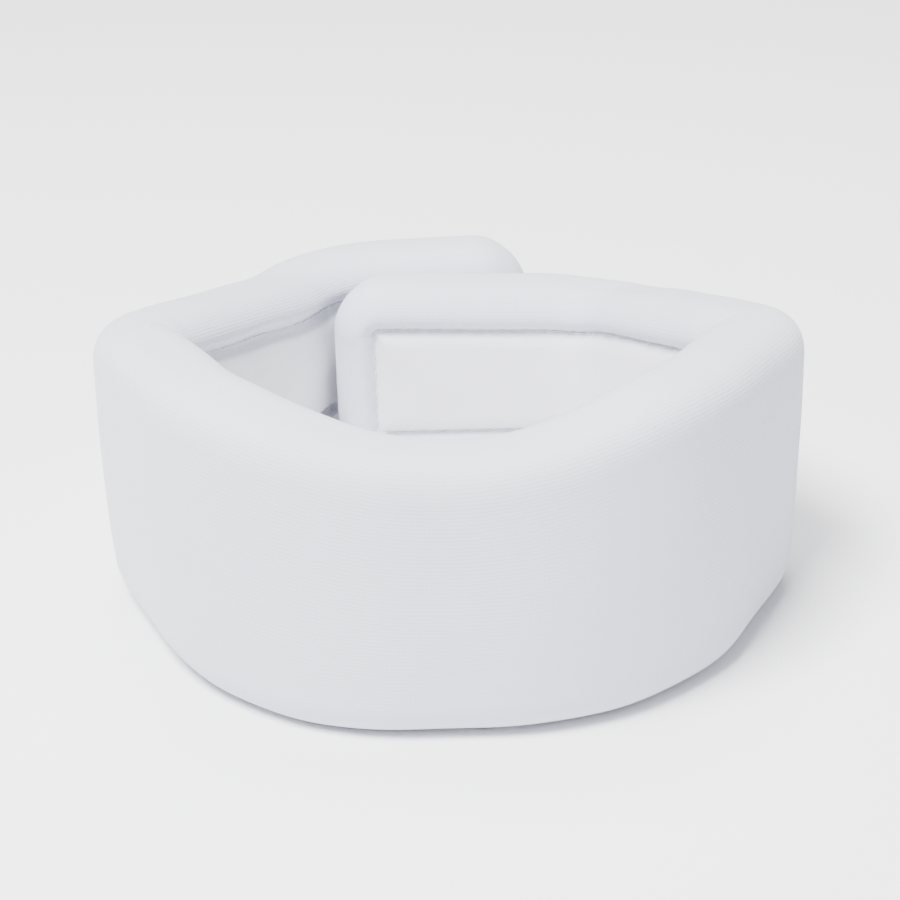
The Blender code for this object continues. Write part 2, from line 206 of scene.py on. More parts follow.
def tubes(paths: Array, across: Array, radius: float, sides: int, taper: float) -> Patch:
    """Many short round threads, all with the same number of points.

    A ring of points stands round each point of each path, at radius times a profile that
    is 1 in the middle and falls to taper at both ends, where the rings close.

    Args:
        paths: Points, shape (threads, steps, 3).
        across: A direction across each thread, shape (threads, 3).
        radius: The thread's radius.
        sides: Points in a ring.
        taper: The radius of the end rings, as a share.

    Returns:
        One patch of all the threads.
    """
    count, steps, _ = paths.shape
    along = np.gradient(paths, axis=1)
    along /= np.linalg.norm(along, axis=2, keepdims=True)
    first = np.cross(along, across[:, None, :])
    first /= np.linalg.norm(first, axis=2, keepdims=True)
    second = np.cross(along, first)
    angles = np.arange(sides) * 2.0 * math.pi / sides
    place = np.linspace(-1.0, 1.0, steps)
    swell = radius * (taper + (1.0 - taper) * np.sqrt(1.0 - place**4))
    ring = (
        first[:, :, None, :] * np.cos(angles)[None, None, :, None]
        + second[:, :, None, :] * np.sin(angles)[None, None, :, None]
    )
    points = paths[:, :, None, :] + ring * swell[None, :, None, None]
    caps = np.stack([paths[:, 0], paths[:, -1]], axis=1)
    per_thread = steps * sides + 2
    points = np.concatenate([points.reshape(count, -1, 3), caps], axis=1).reshape(-1, 3)
    ring_of = np.arange(steps - 1)[:, None] * sides
    side = np.arange(sides)[None, :]
    onward = (side + 1) % sides
    low_cap = np.full_like(side, steps * sides)
    last = (steps - 1) * sides
    body = np.stack(
        [ring_of + side, ring_of + onward, ring_of + sides + onward, ring_of + sides + side],
        axis=-1,
    )
    low = np.stack([side, low_cap, low_cap, onward], axis=-1)
    high = np.stack([last + onward, low_cap + 1, low_cap + 1, last + side], axis=-1)
    one = np.concatenate([part.reshape(-1, 4) for part in (body, low, high)])
    faces = (one[None] + np.arange(count)[:, None, None] * per_thread).reshape(-1, 4)
    along_share = place[np.minimum(one // sides, steps - 1)] * 0.5
    uv = np.stack([along_share, one % sides / sides], axis=-1)
    return Patch(points, faces, np.tile(uv, (count, 1, 1)))


# --- The band's form ---


@dataclass
class CentreLine:
    """The band's centre line in plan: straight runs joined by bends that ease in and out.

    The heading is a broken line over distance, level on the runs and rising evenly on the
    bends, softened by a moving average; the points are its integral.
    """

    corners: tuple[tuple[float, float], ...] = (
        (22.5, 106.0),
        (-41.0, 106.0),
        (-80.0, 0.0),
        (-46.5, -72.5),
        (46.5, -72.5),
        (80.0, -4.0),
        (43.5, 76.3),
        (-34.0, 76.3),
    )
    radii: tuple[float, ...] = (29.7, 16.3, 61.0, 61.0, 16.3, 28.0)
    softness: float = 9.0 * MM
    step: float = 0.25 * MM
    s: Array = field(init=False)
    points: Array = field(init=False)
    headings: Array = field(init=False)
    bends: list[float] = field(init=False)

    def __post_init__(self) -> None:
        """Works out the softened line; BandForm later puts the collar's box over the frame's
        origin.
        """
        corners = np.array(self.corners) * MM
        radii = np.array(self.radii) * MM
        legs = np.diff(corners, axis=0)
        leg_headings = np.unwrap(np.arctan2(legs[:, 1], legs[:, 0]))
        turns = np.diff(leg_headings)
        setbacks = radii * np.tan(turns / 2)
        lengths = np.linalg.norm(legs, axis=1)
        lengths[1:] -= setbacks
        lengths[:-1] -= setbacks
        pieces = np.zeros(2 * len(lengths) - 1)
        pieces[0::2], pieces[1::2] = lengths, radii * turns
        breaks = np.concatenate([[0.0], np.cumsum(pieces)])
        self.bends = [float(breaks[i : i + 2].mean()) for i in range(1, len(pieces), 2)]
        self.s = np.linspace(0.0, breaks[-1], round(breaks[-1] / self.step) + 1)
        heading = np.interp(self.s, breaks, np.repeat(leg_headings, 2))
        reach = round(self.softness / self.step)
        window = np.hanning(2 * reach + 3)[1:-1]
        padded = np.pad(heading, reach, mode="edge")
        self.headings = np.convolve(padded, window / window.sum(), mode="valid")
        middle = (self.headings[1:] + self.headings[:-1]) / 2
        moves = np.stack([np.cos(middle), np.sin(middle)], axis=1) * np.diff(self.s)[:, None]
        self.points = corners[0] + np.concatenate([np.zeros((1, 2)), np.cumsum(moves, axis=0)])

    @property
    def length(self) -> float:
        """The whole length."""
        return float(self.s[-1])

    def shift(self, by: Array) -> None:
        """Moves the whole line in plan."""
        self.points = self.points + by

    def at(self, s: Array) -> tuple[Array, Array]:
        """Points and headings at the distances s."""
        place = np.stack([np.interp(s, self.s, self.points[:, i]) for i in (0, 1)], axis=-1)
        return place, np.interp(s, self.s, self.headings)

    def outward(self, s: Array) -> Array:
        """Directions in plan away from the neck at the distances s."""
        heading = np.interp(s, self.s, self.headings)
        return np.stack([np.sin(heading), -np.cos(heading)], axis=-1)

    def nearest(self, point: tuple[float, float]) -> float:
        """Distance along the line of its point nearest to a point in plan."""
        return float(self.s[np.argmin(np.linalg.norm(self.points - np.array(point), axis=1))])


@dataclass
class BandForm:
    """The band's outline across, its heights, and its crease and folds.

    A level runs down one side of the outline: from the top over its roll, down the face to
    the bottom roll. The outer side and the neck side have the same levels, so they close on
    one another at the tips.
    """

    line: CentreLine
    half: float = 13.0 * MM
    roll: float = 11.5 * MM
    least_roll: float = 2.5 * MM
    end_corner: float = 16.0 * MM
    heights: tuple[float, ...] = (56.0, 54.5, 64.5, 75.0, 80.0, 72.0, 80.0, 75.0, 64.5, 54.5, 56.0)
    waist_share: float = 0.43
    wing_share: float = 0.72
    crease_inset: float = 12.0 * MM
    crease_corner: float = 2.0 * MM
    crease_depth: float = 4.0 * MM
    margin_fall: float = 2.2 * MM
    panel_fall: float = 2.0 * MM
    groove_power: float = 1.5
    panel_recess: float = 0.9 * MM
    panel_crown: float = 1.3 * MM
    face_belly: float = 0.5 * MM
    flare: float = 0.028
    outer_squareness: float = 0.24
    neck_squareness: float = 0.08
    square_reach: float = 20.0 * MM  # from a tip to where the rolls are at their squarest
    relief_reach: float = 5.0 * MM  # across the band, over which the neck side's relief sets in
    recess_reach: float = 2.0 * MM
    crown_reach: float = 16.0 * MM
    lapped_crown: float = 0.2  # share of the crown that stays in the outer end's lap
    gather_depth: float = 0.16 * MM
    gather_pitch: float = 6.4 * MM
    gather_reach: float = 3.5 * MM
    lap_length: float = 55.0 * MM
    lap_fade: float = 25.0 * MM
    fold_bends: tuple[int, ...] = (1, 4)
    fold_width: float = 13.0 * MM
    fold_depth: float = 0.9 * MM
    fold_turn: float = 0.62  # radians a millimetre
    fold_sway: float = 1.2  # millimetres
    fold_sway_rise: float = 11.0  # millimetres of height a radian
    wave_seed: int = 11
    wave_count: int = 14
    wave_lengths: tuple[float, float] = (22.0, 75.0)  # millimetres
    wave_share: float = 0.0016
    wave_calm: float = 0.75  # share of the waves that is lost in the lap
    settling: float = 0.6 * MM
    tip_rows: int = 20
    least_row_gap: float = 0.3 * MM
    roll_levels: int = 26
    face_levels: int = 36
    face_crowding: float = 0.11  # of the face's levels towards the creases
    row_step: float = 1.1 * MM
    height_at: tuple[Array, Array] = field(init=False)
    front: float = field(init=False)

    def __post_init__(self) -> None:
        """Centres the collar on the frame's origin and draws the curve of its top edge."""
        skin = self.line.points + self.line.outward(self.line.s) * self.half
        self.line.shift(-(skin.min(axis=0) + skin.max(axis=0)) / 2)
        _, left, front_left, front_right, right, _ = self.line.bends
        front = self.front = (front_left + front_right) / 2
        length = self.line.length
        shares = np.array([0.0, self.waist_share, self.wing_share])
        places = np.concatenate([
            shares * left,
            [left, (left + front) / 2, front, (front + right) / 2, right],
            (length - shares * (length - right))[::-1],
        ])
        self.height_at = (self.line.s, self.eased(self.line.s, places, np.array(self.heights) * MM))

    @staticmethod
    def eased(x: Array, places: Array, values: Array) -> Array:
        """Smooth curve through points that never passes their highs and lows.

        The slope at a point is the harmonic mean of the two sides' slopes, or zero where
        they differ in sign; each span is the cubic with those slopes.

        Args:
            x: Where the curve is wanted.
            places: The points' places, in order.
            values: The points' values.

        Returns:
            The curve's values at x.
        """
        slopes = np.diff(values) / np.diff(places)
        product = np.maximum(slopes[:-1] * slopes[1:], 0.0)
        inner = 2.0 * product / np.where(product > 0, slopes[:-1] + slopes[1:], 1.0)
        tangents = np.concatenate([[0.0], inner, [0.0]])
        i = np.clip(np.searchsorted(places, x) - 1, 0, len(slopes) - 1)
        width = places[i + 1] - places[i]
        t = np.clip((x - places[i]) / width, 0.0, 1.0)
        rise = values[i] + (values[i + 1] - values[i]) * t * t * (3 - 2 * t)
        return rise + width * t * (1 - t) * ((1 - t) * tangents[i] - t * tangents[i + 1])

    def top(self, s: Array) -> Array:
        """Heights of the top edge at the distances s."""
        return np.interp(s, *self.height_at)

    def from_tip(self, s: Array) -> Array:
        """Distances of s from the nearer tip."""
        return np.minimum(s, self.line.length - s)

    def rows(self, start: float, end: float, step: float, inset: float) -> Array:
        """Distances for the rows of a surface, close together in a tip's half round.

        Args:
            start: The first row.
            end: The last row.
            step: Distance between rows away from the tips.
            inset: How far the surface is drawn in.

        Returns:
            The rows' distances, with one on each tip's crease.
        """
        quarter = np.linspace(0.0, math.pi / 2, self.tip_rows)
        turn = inset + (self.half - inset) * (1.0 - np.cos(quarter))
        near = turn < self.crease_inset - self.least_row_gap
        tip = np.concatenate([turn[near], [self.crease_inset]])
        low = tip if start <= 0.0 else np.array([start])
        high = self.line.length - tip[::-1] if end >= self.line.length else np.array([end])
        count = max(int(round((high[0] - low[-1]) / step)), 1)
        return np.concatenate([low, np.linspace(low[-1], high[0], count + 1)[1:-1], high])

    def crease_distance(self, s: Array, z: Array) -> Array:
        """Signed distance on the neck side from the crease.

        Args:
            s: Distances along the band.
            z: Heights.

        Returns:
            The distances, negative on the lining.
        """
        top = self.top(s)
        beyond_end = self.crease_inset - self.from_tip(s)
        beyond_edge = np.maximum(self.crease_inset - z, z - (top - self.crease_inset))
        a, b = beyond_end + self.crease_corner, beyond_edge + self.crease_corner
        outside = np.hypot(np.maximum(a, 0.0), np.maximum(b, 0.0))
        return outside + np.minimum(np.maximum(a, b), 0.0) - self.crease_corner

    def neck_relief(self, s: Array, z: Array) -> Array:
        """How far the neck side is drawn into the band (positive) or crowned (negative).

        A pointed groove lies along the crease, steeper on the margin's side. The lining is
        set back from the margin and swells towards the neck with its distance from the
        crease. Small gathers run across the groove where the stitches draw the knit in.

        Args:
            s: Distances along the band.
            z: Heights.

        Returns:
            The depths.
        """
        away = self.crease_distance(s, z)
        fall = np.where(away > 0.0, self.margin_fall, self.panel_fall)
        groove = self.crease_depth * np.exp(-(np.abs(away / fall) ** self.groove_power))
        outer_lap = self.lapped(s) * (s < 0.5 * self.line.length)
        crown = self.panel_crown * smoothstep(-away / self.crown_reach)
        crown = crown * (1.0 - (1.0 - self.lapped_crown) * outer_lap)
        recess = self.panel_recess * smoothstep(-away / self.recess_reach) * (1.0 - outer_lap)
        gathers = self.gather_depth * np.sin((s + z) * 2 * math.pi / self.gather_pitch)
        gathers = gathers * np.exp(-np.abs(away) / self.gather_reach)
        return groove + recess - crown + gathers

    def lapped(self, s: Array) -> Array:
        """One where the two ends lie against each other and are kept flat, zero elsewhere."""
        return 1.0 - smoothstep((self.from_tip(s) - self.lap_length) / self.lap_fade)

    def belly(self, s: Array, z: Array) -> Array:
        """How far the outer face swells between its rolls, away from the lapped ends."""
        middle = np.clip((z - self.roll) / (self.top(s) - 2 * self.roll), 0.0, 1.0)
        return self.face_belly * 4.0 * middle * (1.0 - middle) * (1.0 - self.lapped(s))

    def bend_folds(self, s: Array, z: Array) -> Array:
        """Soft upright folds pressed into the neck side where the band bends sharply.

        Args:
            s: Distances along the band.
            z: Heights.

        Returns:
            The depths.
        """
        folds = np.zeros(np.broadcast(s, z).shape)
        for bend in self.fold_bends:
            away = s - self.line.bends[bend]
            swing = away / MM + self.fold_sway * np.sin(z / MM / self.fold_sway_rise + bend)
            depth = self.fold_depth * np.exp(-((away / self.fold_width) ** 2))
            folds += depth * (0.5 + 0.5 * np.cos(swing * self.fold_turn))
        return folds

    def swell(self, points: Array, s: Array) -> Array:
        """Gentle unevenness of hand-covered foam: long waves through space.

        Args:
            points: Points of the even skin.
            s: Their distances along the band.

        Returns:
            How far each point moves off the skin, least in the lap.
        """
        random = np.random.default_rng(self.wave_seed)
        total = np.zeros(points.shape[:-1])
        for _ in range(self.wave_count):
            wave = random.uniform(*self.wave_lengths) * MM
            direction = random.normal(size=3)
            direction /= np.linalg.norm(direction)
            phase = random.uniform(0, 2 * math.pi)
            total += np.sin(points @ direction * 2 * math.pi / wave + phase) * wave
        return total * self.wave_share * (1.0 - self.wave_calm * self.lapped(s))

    def settled(self, z: Array) -> Array:
        """Heights eased onto the table: the mean of z and its distance from a soft zero."""
        return (z + np.sqrt(z**2 + self.settling**2)) / 2

    def side_levels(self, s: Array, inset: float, squareness: float) -> tuple[Array, Array]:
        """Distances across from the middle, and heights, of one side's levels.

        A roll is a quarter of a superellipse: sine and cosine to a power that falls from 1
        at the tips, where it is round, to 1 less the squareness.

        Args:
            s: The rows' distances.
            inset: How far the outline is drawn in all round.
            squareness: How much squarer than round the rolls are away from the tips.

        Returns:
            Two arrays of shape (rows, levels), from the top to the bottom.
        """
        tip = np.maximum(self.from_tip(s) - inset, 0.0)
        half = self.half - inset
        width = half * np.sqrt(np.clip(1.0 - np.clip(1.0 - tip / half, 0, 1) ** 2, 0, 1))
        corner = self.end_corner - inset
        back = corner - np.sqrt(np.clip(corner**2 - np.clip(corner - tip, 0, None) ** 2, 0, None))
        top, bottom = self.top(s) - inset - back, inset + back
        wide = np.minimum(self.roll - inset, width)
        tall = np.maximum(wide, self.least_roll)
        angle = np.linspace(0.0, math.pi / 2, self.roll_levels)
        power = (1.0 - squareness * smoothstep(tip / self.square_reach))[:, None]
        across_roll = (width - wide)[:, None] + wide[:, None] * np.sin(angle) ** power
        drop = tall[:, None] * (1.0 - np.cos(angle) ** power)
        high = np.minimum(self.top(s) - self.crease_inset, top - tall)
        low = np.maximum(self.crease_inset, bottom + tall)
        u = np.linspace(0.0, 1.0, self.face_levels)
        share = u - self.face_crowding * np.sin(2 * math.pi * u)
        face = high[:, None] + (low - high)[:, None] * share
        z = np.concatenate([top[:, None] - drop, face, bottom[:, None] + drop[:, ::-1]], axis=1)
        flat = np.repeat(width[:, None], self.face_levels, axis=1)
        return np.concatenate([across_roll, flat, across_roll[:, ::-1]], axis=1), z

    def surface(self, s: Array, inset: float = 0.0) -> Array:
        """Points of the band's skin.

        Args:
            s: The rows' distances.
            inset: How far the skin is drawn in.

        Returns:
            Points of shape (rows, columns, 3). The outer side's levels come first, from
            the top down, then the neck side's from the bottom up.
        """
        rows = s[:, None]
        outer, outer_z = self.side_levels(s, inset, self.outer_squareness)
        across, z = self.side_levels(s, inset, self.neck_squareness)
        outer = outer + self.belly(rows, outer_z)
        relief = self.neck_relief(rows, z) * smoothstep(across / self.relief_reach)
        relief = relief + self.bend_folds(rows, z)
        offsets = np.concatenate([outer, (relief - across)[:, ::-1]], axis=1)
        levels = np.concatenate([outer_z, z[:, ::-1]], axis=1)
        offsets = offsets + self.flare * (levels - self.top(rows))
        return self.place(s, offsets, levels)

    def place(self, s: Array, offsets: Array, levels: Array) -> Array:
        """Points at offsets across the band and heights, for each row of distances s."""
        centre, _ = self.line.at(s)
        plan = centre[:, None, :] + self.line.outward(s)[:, None, :] * offsets[..., None]
        return np.concatenate([plan, levels[..., None]], axis=-1)

    def points(self, s: Array, z: Array, lift: float | Array, side: int) -> Array:
        """Points on one side of the band, lifted off its skin.

        Args:
            s: Distances along the band.
            z: Heights.
            lift: How far the points stand off the skin.
            side: 1 for the outer side, -1 for the neck side.

        Returns:
            The points, one for each pair of distance and height.
        """
        if side > 0:
            offset = self.half + self.belly(s, z)
        else:
            offset = -self.half + self.neck_relief(s, z) + self.bend_folds(s, z)
        outward = self.line.outward(s)
        even = (offset + self.flare * (z - self.top(s)))[..., None]
        centre = self.line.at(s)[0]
        ground = np.concatenate([centre + outward * even, z[..., None]], axis=-1)
        lifted = even + (side * (lift + self.swell(ground, s)))[..., None]
        return np.concatenate([centre + outward * lifted, z[..., None]], axis=-1)


# --- Finishes ---


class NodeKit:
    """Short hand for wiring shader nodes in one tree."""

    def __init__(self, tree: bpy.types.NodeTree) -> None:
        """Keeps the tree."""
        self.tree = tree

    def node(self, kind: str, **settings: object) -> Node:
        """A new node with its settings."""
        made = self.tree.nodes.new(kind)
        for name, value in settings.items():
            setattr(made, name, value)
        return made

    def feed(self, socket: Socket, value: object) -> None:
        """Links a socket to another, or sets its own value."""
        if isinstance(value, Socket):
            self.tree.links.new(value, socket)
        else:
            socket.default_value = value

    def math(self, operation: str, *values: object) -> Socket:
        """The result of a Math node."""
        made = self.node("ShaderNodeMath", operation=operation)
        for socket, value in zip(made.inputs, values):
            self.feed(socket, value)
        return made.outputs[0]

    def noise(self, vector: Socket, scale: object, detail: float, roughness: float) -> Socket:
        """The factor of a noise texture."""
        made = self.node("ShaderNodeTexNoise")
        values = {"Vector": vector, "Scale": scale, "Detail": detail, "Roughness": roughness}
        for title, value in values.items():
            self.feed(made.inputs[title], value)
        return made.outputs["Fac"]

    def mix_colour(self, factor: Socket, first: object, second: object) -> Socket:
        """Two colours mixed."""
        made = self.node("ShaderNodeMix", data_type="RGBA")
        for place, value in ((0, factor), (6, first), (7, second)):
            self.feed(made.inputs[place], value)
        return made.outputs[2]

    def spread(
        self, value: Socket, low: float, high: float, to_low: float, to_high: float
    ) -> Socket:
        """A value mapped from one range to another."""
        made = self.node("ShaderNodeMapRange")
        for socket, entry in zip(made.inputs, (value, low, high, to_low, to_high)):
            self.feed(socket, entry)
        return made.outputs[0]

    def place(self) -> Socket:
        """The place in the piece's own space, in metres."""
        return self.node("ShaderNodeTexCoord").outputs["Object"]

    def band_map(self) -> tuple[Socket, Socket]:
        """The two coordinates of the piece's map."""
        parts = self.node("ShaderNodeSeparateXYZ")
        self.feed(parts.inputs[0], self.node("ShaderNodeUVMap", uv_map="band_map").outputs[0])
        return parts.outputs[0], parts.outputs[1]

    def group(self, tree: bpy.types.NodeTree, **values: float) -> Node:
        """A group's node, with the values of its inputs."""
        made = self.node("ShaderNodeGroup", node_tree=tree)
        for title, value in values.items():
            made.inputs[title].default_value = value
        return made


def new_group(
    name: str, inputs: dict[str, float], outputs: tuple[str, ...]
) -> tuple[bpy.types.NodeTree, NodeKit, Node, Node]:
    """A shader node group with named sockets.

    Args:
        name: The group's name.
        inputs: Input names and default values.
        outputs: Output names.

    Returns:
        The group, its kit, its input node and its output node.
    """
    group = bpy.data.node_groups.new(name, "ShaderNodeTree")
    kind = "NodeSocketFloat"
    for title, value in inputs.items():
        socket = group.interface.new_socket(name=title, in_out="INPUT", socket_type=kind)
        socket.default_value = value
    for title in outputs:
        group.interface.new_socket(name=title, in_out="OUTPUT", socket_type=kind)
    kit = NodeKit(group)
    return group, kit, kit.node("NodeGroupInput"), kit.node("NodeGroupOutput")


class NodeGroups:
    """The patterns that more than one finish uses, each built once."""

    def __init__(self) -> None:
        """Builds the groups."""
        self.knit = self.build_knit()
        self.fibre = self.build_fibre()
        self.weave = self.build_weave()

    def build_knit(self) -> bpy.types.NodeTree:
        """Plain knit: columns of V-shaped stitches on the piece's map, in metres.

        A column is a round rib; within it the courses run as slanted strokes that mirror
        about the rib's middle. Height is the rib times the strokes. Valley, one less the height,
        is the mask for painted shade in the knit's hollows.
        """
        inputs = {"Rib": 0.00125, "Course": 0.00095, "Unevenness": 0.35}
        group, kit, start, end = new_group("plain_knit", inputs, ("Height", "Valley"))
        along, around = kit.band_map()
        drift = kit.math("SUBTRACT", kit.noise(kit.place(), 90.0, 1.0, 0.5), 0.5)
        drift = kit.math("MULTIPLY", drift, start.outputs["Unevenness"])
        rib = kit.math("ADD", kit.math("DIVIDE", around, start.outputs["Rib"]), drift)
        from_middle = kit.math("ABSOLUTE", kit.math("SUBTRACT", kit.math("FRACT", rib), 0.5))
        swell = kit.math("COSINE", kit.math("MULTIPLY", from_middle, math.pi))
        swell = kit.math("POWER", kit.math("MAXIMUM", swell, 0.0), 0.7)
        course = kit.math("DIVIDE", along, start.outputs["Course"])
        slant = kit.math("ADD", course, kit.math("MULTIPLY", from_middle, 1.5))
        slant = kit.math("ADD", slant, drift)
        stroke = kit.math("COSINE", kit.math("MULTIPLY", slant, 2 * math.pi))
        height = kit.math("MULTIPLY", swell, kit.math("MULTIPLY_ADD", stroke, 0.3, 0.7))
        kit.feed(end.inputs["Height"], height)
        # Valley: mask of painted shade, darkest between the ribs and strokes
        kit.feed(end.inputs["Valley"], kit.math("SUBTRACT", 1.0, height))
        return group

    def build_fibre(self) -> bpy.types.NodeTree:
        """Loose fibres and lint: fine noise over coarse, and broad mottling."""
        group, kit, start, end = new_group("cotton_fibre", {"Scale": 2600.0}, ("Height", "Mottle"))
        place = kit.place()
        fine = kit.noise(place, start.outputs["Scale"], 3.0, 0.65)
        coarse = kit.math("MULTIPLY", kit.noise(place, 420.0, 2.0, 0.6), 0.4)
        kit.feed(end.inputs["Height"], kit.math("ADD", kit.math("MULTIPLY", fine, 0.6), coarse))
        kit.feed(end.inputs["Mottle"], kit.noise(place, 34.0, 3.0, 0.55))
        return group

    def build_weave(self) -> bpy.types.NodeTree:
        """Plain weave of a narrow tape: warp and weft waves that pass over one another."""
        group, kit, start, end = new_group("tape_weave", {"Pitch": 0.0006}, ("Height",))
        turn = kit.math("DIVIDE", math.pi, start.outputs["Pitch"])
        warp, weft = (
            kit.math("SINE", kit.math("MULTIPLY", way, turn)) for way in kit.band_map()
        )
        crossed = kit.math("MULTIPLY", warp, weft)
        kit.feed(end.inputs["Height"], kit.math("MULTIPLY_ADD", crossed, 0.5, 0.5))
        return group


@dataclass(frozen=True)
class Finish:
    """A finish with a main colour, a darker colour painted into its hollows as shade, and a fine
    relief.
    """

    name: str
    colour: Colour
    # shade_colour is painted shade for the hollows of the relief, not a colour of the material; the
    # knit's random mottling also tends towards it
    shade_colour: Colour
    relief: float = 0.12 * MM
    strength: float = 0.6
    roughness: tuple[float, float] = (0.5, 0.65)  # where the fibres lie low and high
    sheen: float = 0.0
    sheen_roughness: float = 0.4
    specular: float = 0.4

    def wire(self, kit: NodeKit, groups: NodeGroups, fibre: Node) -> tuple[Socket, Socket]:
        """Wires the finish's own nodes.

        Args:
            groups: The shared patterns.
            fibre: The material's fibre group.

        Returns:
            The sockets of the colour and of the relief's height.
        """
        raise NotImplementedError

    def build(self, groups: NodeGroups) -> bpy.types.Material:
        """The material, wired to its shader.

        Args:
            groups: The shared patterns.

        Returns:
            The new material.
        """
        material = bpy.data.materials.new(self.name)
        material.use_nodes = True
        kit = NodeKit(material.node_tree)
        fibre = kit.group(groups.fibre)
        colour, height = self.wire(kit, groups, fibre)
        bump = kit.node("ShaderNodeBump")
        bump.inputs["Strength"].default_value = self.strength
        bump.inputs["Distance"].default_value = self.relief
        kit.feed(bump.inputs["Height"], height)
        shader = material.node_tree.nodes["Principled BSDF"]
        for title, value in {
            "Base Color": colour,
            "Roughness": kit.spread(fibre.outputs["Height"], 0.3, 0.7, *self.roughness),
            "Normal": bump.outputs[0],
            "Sheen Weight": self.sheen,
            "Sheen Roughness": self.sheen_roughness,
            "Specular IOR Level": self.specular,
        }.items():
            kit.feed(shader.inputs[title], value)
        return material


@dataclass(frozen=True)
class KnitCotton(Finish):
    """White cotton stockinette."""

    relief: float = 0.13 * MM
    roughness: tuple[float, float] = (0.82, 0.97)
    sheen: float = 0.25
    sheen_roughness: float = 0.45
    specular: float = 0.25
    rib: float = 1.1 * MM
    course: float = 0.9 * MM

    def wire(self, kit: NodeKit, groups: NodeGroups, fibre: Node) -> tuple[Socket, Socket]:
        """Knit and fibre in the relief; painted shade in the knit's valleys, and random mottling,
        in the colour.
        """
        knit = kit.group(groups.knit, Rib=self.rib, Course=self.course)
        # painted shade: the knit's valleys are darkened towards shade_colour
        valley_shade = kit.math("MULTIPLY", knit.outputs["Valley"], 0.35)
        shade = kit.mix_colour(valley_shade, self.colour, self.shade_colour)
        # random mottling of the cotton's tone, towards the same darker colour
        pale = kit.spread(fibre.outputs["Mottle"], 0.35, 0.65, 0.0, 0.10)
        fluff = kit.math("MULTIPLY", fibre.outputs["Height"], 0.45)
        height = kit.math("ADD", knit.outputs["Height"], fluff)
        return kit.mix_colour(pale, shade, self.shade_colour), height


@dataclass(frozen=True)
class SoftFoam(Finish):
    """Open-cell foam."""

    relief: float = 0.4 * MM
    strength: float = 0.8
    roughness: tuple[float, float] = (0.85, 1.0)
    specular: float = 0.2
    pores_per_metre: float = 900.0

    def wire(self, kit: NodeKit, groups: NodeGroups, fibre: Node) -> tuple[Socket, Socket]:
        """Cells in the relief, with painted shade in their pores in the colour."""
        cells = kit.node("ShaderNodeTexVoronoi")
        kit.feed(cells.inputs["Vector"], kit.place())
        kit.feed(cells.inputs["Scale"], self.pores_per_metre)
        pore = kit.spread(cells.outputs["Distance"], 0.1, 0.6, 1.0, 0.0)
        # painted shade: each pore is darkened towards shade_colour
        shade = kit.mix_colour(kit.math("MULTIPLY", pore, 0.6), self.colour, self.shade_colour)
        return shade, kit.math("SUBTRACT", 1.0, pore)


@dataclass(frozen=True)
class SewingThread(Finish):
    """Spun sewing thread: a fine twist round each stitch."""

    relief: float = 0.15 * MM
    roughness: tuple[float, float] = (0.6, 0.8)
    sheen: float = 0.2
    specular: float = 0.35

    def wire(self, kit: NodeKit, groups: NodeGroups, fibre: Node) -> tuple[Socket, Socket]:
        """Slanted plies in the relief, with painted shade in the grooves between them in the
        colour.
        """
        along, around = kit.band_map()
        turn = kit.math("MULTIPLY", along, 9.0)
        turn = kit.math("ADD", turn, kit.math("MULTIPLY", around, 3.0))
        ply = kit.math("ABSOLUTE", kit.math("SINE", kit.math("MULTIPLY", turn, math.pi)))
        # painted shade: the grooves between plies take shade_colour
        return kit.mix_colour(ply, self.shade_colour, self.colour), ply


@dataclass(frozen=True)
class NylonTape(Finish):
    """Woven nylon ground of the fastener, or its hooks or pile."""

    def wire(self, kit: NodeKit, groups: NodeGroups, fibre: Node) -> tuple[Socket, Socket]:
        """The weave in the relief, with painted shade in its low places in the colour."""
        weave = kit.group(groups.weave).outputs["Height"]
        fluff = kit.math("MULTIPLY", fibre.outputs["Height"], 0.4)
        # painted shade: the weave's low places take shade_colour
        shade = kit.mix_colour(weave, self.shade_colour, self.colour)
        return shade, kit.math("ADD", weave, fluff)


def grey(value: float, blue: float) -> Colour:
    """An opaque grey, with its blue given apart."""
    return value, value, blue, 1.0


class Finishes:
    """Every material of the collar."""

    def __init__(self) -> None:
        """Builds them from the shared groups."""
        groups = NodeGroups()
        self.cover = KnitCotton(
            "cover_knit", (0.685, 0.695, 0.785, 1.0), (0.575, 0.585, 0.67, 1.0)
        ).build(groups)
        self.lining = KnitCotton("lining_knit", grey(0.82, 0.865), grey(0.70, 0.75)).build(groups)
        self.foam = SoftFoam(
            "soft_foam", (0.86, 0.80, 0.60, 1.0), (0.66, 0.58, 0.38, 1.0)
        ).build(groups)
        self.thread = SewingThread(
            "sewing_thread", (0.84, 0.85, 0.87, 1.0), (0.60, 0.61, 0.64, 1.0)
        ).build(groups)
        self.hook_tape, self.hooks, self.loop_tape, self.loops = (
            NylonTape(
                name, grey(pale, pale), grey(*shade), roughness=roughness, sheen=sheen
            ).build(groups)
            for name, pale, shade, roughness, sheen in (
                ("hook_tape", 0.80, (0.62, 0.63), (0.5, 0.65), 0.0),
                ("nylon_hooks", 0.86, (0.80, 0.81), (0.35, 0.5), 0.0),
                ("loop_tape", 0.86, (0.70, 0.71), (0.75, 0.9), 0.3),
                ("nylon_loops", 0.88, (0.80, 0.82), (0.6, 0.75), 0.4),
            )
        )


# --- The collar ---


class Stretch(Enum):
    """A length of the band that crosses one joint, in the order from the outer end's tip.

    Each value holds the joint's name, the way from its parent to its child along the band,
    and how far the band bends on the parent's side of the axis and on the child's. The
    outer end bends little over the inner end that lies in its bend.
    """

    OUTER = ("outer_end_peel", -1, 13.0 * MM, 43.0 * MM)
    LEFT = ("left_wing_open", -1, 34.0 * MM, 34.0 * MM)
    RIGHT = ("right_wing_open", 1, 26.0 * MM, 26.0 * MM)


